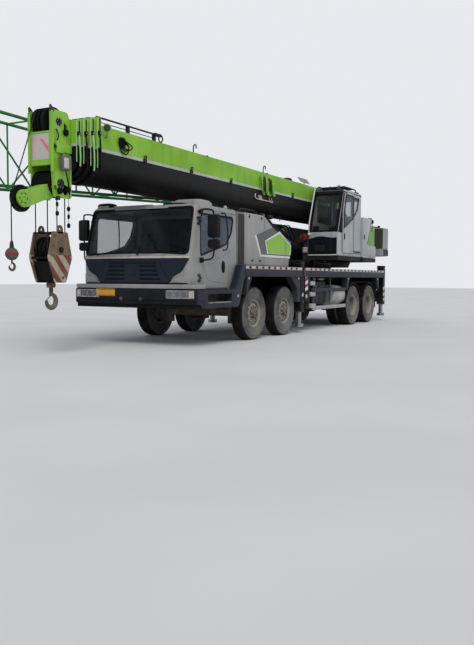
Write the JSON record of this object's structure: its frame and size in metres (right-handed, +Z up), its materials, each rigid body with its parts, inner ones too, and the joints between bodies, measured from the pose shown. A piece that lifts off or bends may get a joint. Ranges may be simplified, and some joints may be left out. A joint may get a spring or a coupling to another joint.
{
  "type": "mobile crane",
  "caption": "Truck-mounted telescopic crane with a steering front bogie, twin rear wheels, slewing upper, stowed lattice jib, hook block and sliding outriggers.",
  "frame": {"origin": "on the ground, below the middle of the crane's length and width", "axes": "+X forward along the boom at rest, +Y to the left, +Z up"},
  "size_m": [14.5622, 3.12, 3.87],
  "materials": {
    "chassis_paint": "semi gloss, dusty",
    "deck_paint": "matt, worn tread plate",
    "cab_paint": "warm light grey",
    "cab_glass": "tinted",
    "cabin_trim": "dark trim and cloth",
    "bumper_paint": "dark blue grey",
    "hood_paint": "light grey",
    "engine_iron": "oily dark grey",
    "running_gear": "dusty black",
    "side_gear": "grey and bare steel",
    "tyre": "dusty black rubber",
    "rim": "dusty grey",
    "outrigger_paint": "dark with reflective strips",
    "jack_steel": "pale rod and dark foot",
    "table_paint": "dark grey",
    "cover_paint": "grey with a green panel",
    "op_paint": "light grey",
    "winch_steel": "greased rope on steel",
    "cylinder_paint": "dark green",
    "cylinder_rod": "hard chrome",
    "boom_paint": "yellow green above a dark lower half",
    "jib_paint": "darker green",
    "hook_paint": "tan with stripes"
  },
  "bodies": {
    "carrier": {"chassis_frame": "chassis_paint", "carrier_deck": "deck_paint", "cab_shell": "cab_paint", "cab_glass": "cab_glass", "cab_interior": "cabin_trim", "front_bumper": "bumper_paint", "engine_hood": "hood_paint", "engine": "engine_iron", "axles": "running_gear", "side_equipment": "side_gear"},
    "door_left": {"door_left": "cab_paint"},
    "door_right": {"door_right": "cab_paint"},
    "knuckle_1l": {"knuckle_1l": "running_gear"},
    "knuckle_1r": {"knuckle_1r": "running_gear"},
    "knuckle_2l": {"knuckle_2l": "running_gear"},
    "knuckle_2r": {"knuckle_2r": "running_gear"},
    "wheel_1l": {"tyre_1l": "tyre", "rim_1l": "rim"},
    "wheel_1r": {"tyre_1r": "tyre", "rim_1r": "rim"},
    "wheel_2l": {"tyre_2l": "tyre", "rim_2l": "rim"},
    "wheel_2r": {"tyre_2r": "tyre", "rim_2r": "rim"},
    "wheel_3l": {"tyre_3l": "tyre", "rim_3l": "rim"},
    "wheel_3r": {"tyre_3r": "tyre", "rim_3r": "rim"},
    "wheel_4l": {"tyre_4l": "tyre", "rim_4l": "rim"},
    "wheel_4r": {"tyre_4r": "tyre", "rim_4r": "rim"},
    "outrigger_beam_fl": {"outrigger_beam_fl": "outrigger_paint"},
    "jack_fl": {"jack_fl": "jack_steel"},
    "outrigger_beam_fr": {"outrigger_beam_fr": "outrigger_paint"},
    "jack_fr": {"jack_fr": "jack_steel"},
    "outrigger_beam_rl": {"outrigger_beam_rl": "outrigger_paint"},
    "jack_rl": {"jack_rl": "jack_steel"},
    "outrigger_beam_rr": {"outrigger_beam_rr": "outrigger_paint"},
    "jack_rr": {"jack_rr": "jack_steel"},
    "turntable": {"turntable_frame": "table_paint", "side_covers": "cover_paint", "counterweight": "cover_paint", "operator_cab_shell": "op_paint", "operator_cab_glass": "cab_glass", "operator_cab_interior": "cabin_trim"},
    "operator_door": {"operator_door": "op_paint"},
    "main_winch_drum": {"main_winch_drum": "winch_steel"},
    "aux_winch_drum": {"aux_winch_drum": "winch_steel"},
    "luff_barrel": {"luff_barrel": "cylinder_paint"},
    "luff_rod": {"luff_rod": "cylinder_rod"},
    "boom_base": {"boom_base": "boom_paint", "jib": "jib_paint"},
    "boom_section_2": {"boom_section_2": "boom_paint"},
    "boom_section_3": {"boom_section_3": "boom_paint"},
    "boom_section_4": {"boom_section_4": "boom_paint"},
    "boom_section_5": {"boom_section_5": "boom_paint"},
    "hook_block": {"hook_block": "hook_paint"},
    "aux_hook": {"aux_hook": "hook_paint"}
  },
  "joints": [
    {"name": "steer_1l", "type": "hinge", "parent": "carrier", "child": "knuckle_1l", "pos_m": [1.78885, 0.93, 0.543], "axis": [0, 0, 1], "range_deg": [-30, 30]},
    {"name": "steer_1r", "type": "hinge", "parent": "carrier", "child": "knuckle_1r", "pos_m": [1.78885, -0.93, 0.543], "axis": [0, 0, 1], "range_deg": [-30, 30]},
    {"name": "steer_2l", "type": "hinge", "parent": "carrier", "child": "knuckle_2l", "pos_m": [0.33885, 0.93, 0.543], "axis": [0, 0, 1], "range_deg": [-23, 23]},
    {"name": "steer_2r", "type": "hinge", "parent": "carrier", "child": "knuckle_2r", "pos_m": [0.33885, -0.93, 0.543], "axis": [0, 0, 1], "range_deg": [-23, 23]},
    {"name": "spin_1l", "type": "hinge", "parent": "knuckle_1l", "child": "wheel_1l", "pos_m": [1.78885, 1.155, 0.543], "axis": [0, 1, 0], "continuous": true},
    {"name": "spin_1r", "type": "hinge", "parent": "knuckle_1r", "child": "wheel_1r", "pos_m": [1.78885, -1.155, 0.543], "axis": [0, 1, 0], "continuous": true},
    {"name": "spin_2l", "type": "hinge", "parent": "knuckle_2l", "child": "wheel_2l", "pos_m": [0.33885, 1.155, 0.543], "axis": [0, 1, 0], "continuous": true},
    {"name": "spin_2r", "type": "hinge", "parent": "knuckle_2r", "child": "wheel_2r", "pos_m": [0.33885, -1.155, 0.543], "axis": [0, 1, 0], "continuous": true},
    {"name": "spin_3l", "type": "hinge", "parent": "carrier", "child": "wheel_3l", "pos_m": [-4.03115, 1.183, 0.543], "axis": [0, 1, 0], "continuous": true},
    {"name": "spin_3r", "type": "hinge", "parent": "carrier", "child": "wheel_3r", "pos_m": [-4.03115, -1.183, 0.543], "axis": [0, 1, 0], "continuous": true},
    {"name": "spin_4l", "type": "hinge", "parent": "carrier", "child": "wheel_4l", "pos_m": [-5.38115, 1.183, 0.543], "axis": [0, 1, 0], "continuous": true},
    {"name": "spin_4r", "type": "hinge", "parent": "carrier", "child": "wheel_4r", "pos_m": [-5.38115, -1.183, 0.543], "axis": [0, 1, 0], "continuous": true},
    {"name": "door_left_hinge", "type": "hinge", "parent": "carrier", "child": "door_left", "pos_m": [3.79885, 1.224, 1.78], "axis": [0, 0, -1], "range_deg": [0, 70]},
    {"name": "door_right_hinge", "type": "hinge", "parent": "carrier", "child": "door_right", "pos_m": [3.79885, -1.224, 1.78], "axis": [0, 0, 1], "range_deg": [0, 70]},
    {"name": "outrigger_fl_out", "type": "slide", "parent": "carrier", "child": "outrigger_beam_fl", "axis": [0, 1, 0], "range_m": [0, 1.95]},
    {"name": "jack_fl_down", "type": "slide", "parent": "outrigger_beam_fl", "child": "jack_fl", "axis": [0, 0, -1], "range_m": [0, 0.5]},
    {"name": "outrigger_fr_out", "type": "slide", "parent": "carrier", "child": "outrigger_beam_fr", "axis": [0, -1, 0], "range_m": [0, 1.95]},
    {"name": "jack_fr_down", "type": "slide", "parent": "outrigger_beam_fr", "child": "jack_fr", "axis": [0, 0, -1], "range_m": [0, 0.5]},
    {"name": "outrigger_rl_out", "type": "slide", "parent": "carrier", "child": "outrigger_beam_rl", "axis": [0, 1, 0], "range_m": [0, 1.95]},
    {"name": "jack_rl_down", "type": "slide", "parent": "outrigger_beam_rl", "child": "jack_rl", "axis": [0, 0, -1], "range_m": [0, 0.5]},
    {"name": "outrigger_rr_out", "type": "slide", "parent": "carrier", "child": "outrigger_beam_rr", "axis": [0, -1, 0], "range_m": [0, 1.95]},
    {"name": "jack_rr_down", "type": "slide", "parent": "outrigger_beam_rr", "child": "jack_rr", "axis": [0, 0, -1], "range_m": [0, 0.5]},
    {"name": "slew", "type": "hinge", "parent": "carrier", "child": "turntable", "pos_m": [-4.03115, 0, 1.59], "axis": [0, 0, 1], "continuous": true},
    {"name": "boom_luff", "type": "hinge", "parent": "turntable", "child": "boom_base", "pos_m": [-5.68115, 0, 3], "axis": [0, -1, 0], "range_deg": [0, 80]},
    {"name": "cylinder_swing", "type": "hinge", "parent": "turntable", "child": "luff_barrel", "pos_m": [-4.08115, 0, 1.8], "axis": [0, -1, 0], "range_deg": [0, 80]},
    {"name": "cylinder_stroke", "type": "slide", "parent": "luff_barrel", "child": "luff_rod", "axis": [0.9621, 0, 0.2726], "range_m": [0, 2.6]},
    {"name": "telescope_2", "type": "slide", "parent": "boom_base", "child": "boom_section_2", "axis": [1, 0, 0], "range_m": [0, 8]},
    {"name": "telescope_3", "type": "slide", "parent": "boom_section_2", "child": "boom_section_3", "axis": [1, 0, 0], "range_m": [0, 8]},
    {"name": "telescope_4", "type": "slide", "parent": "boom_section_3", "child": "boom_section_4", "axis": [1, 0, 0], "range_m": [0, 8]},
    {"name": "telescope_5", "type": "slide", "parent": "boom_section_4", "child": "boom_section_5", "axis": [1, 0, 0], "range_m": [0, 8]},
    {"name": "hook_block_hang", "type": "hinge", "parent": "boom_section_5", "child": "hook_block", "pos_m": [6.27885, 0, 2.6], "axis": [0, -1, 0], "range_deg": [-80, 0]},
    {"name": "aux_hook_hang", "type": "hinge", "parent": "boom_section_5", "child": "aux_hook", "pos_m": [6.99885, 0.1, 2.41], "axis": [0, -1, 0], "range_deg": [-80, 0]},
    {"name": "operator_door_slide", "type": "slide", "parent": "turntable", "child": "operator_door", "axis": [-1, 0, 0], "range_m": [0, 0.64]},
    {"name": "main_winch_spin", "type": "hinge", "parent": "turntable", "child": "main_winch_drum", "pos_m": [-6.18115, 0, 2.12], "axis": [0, 1, 0], "continuous": true},
    {"name": "aux_winch_spin", "type": "hinge", "parent": "turntable", "child": "aux_winch_drum", "pos_m": [-5.48115, 0, 2.12], "axis": [0, 1, 0], "continuous": true}
  ],
  "couplings": [
    {"joint": "steer_1r", "follows": "steer_1l", "ratio": 1},
    {"joint": "steer_2l", "follows": "steer_1l", "ratio": 0.75},
    {"joint": "steer_2r", "follows": "steer_1l", "ratio": 0.75},
    {"joint": "cylinder_swing", "follows": "boom_luff", "ratio": 0.98481},
    {"joint": "cylinder_stroke", "follows": "boom_luff", "m_per_rad": 1.8403},
    {"joint": "telescope_3", "follows": "telescope_2", "ratio": 1},
    {"joint": "telescope_4", "follows": "telescope_2", "ratio": 1},
    {"joint": "telescope_5", "follows": "telescope_2", "ratio": 1},
    {"joint": "hook_block_hang", "follows": "boom_luff", "ratio": -1},
    {"joint": "aux_hook_hang", "follows": "boom_luff", "ratio": -1}
  ]
}
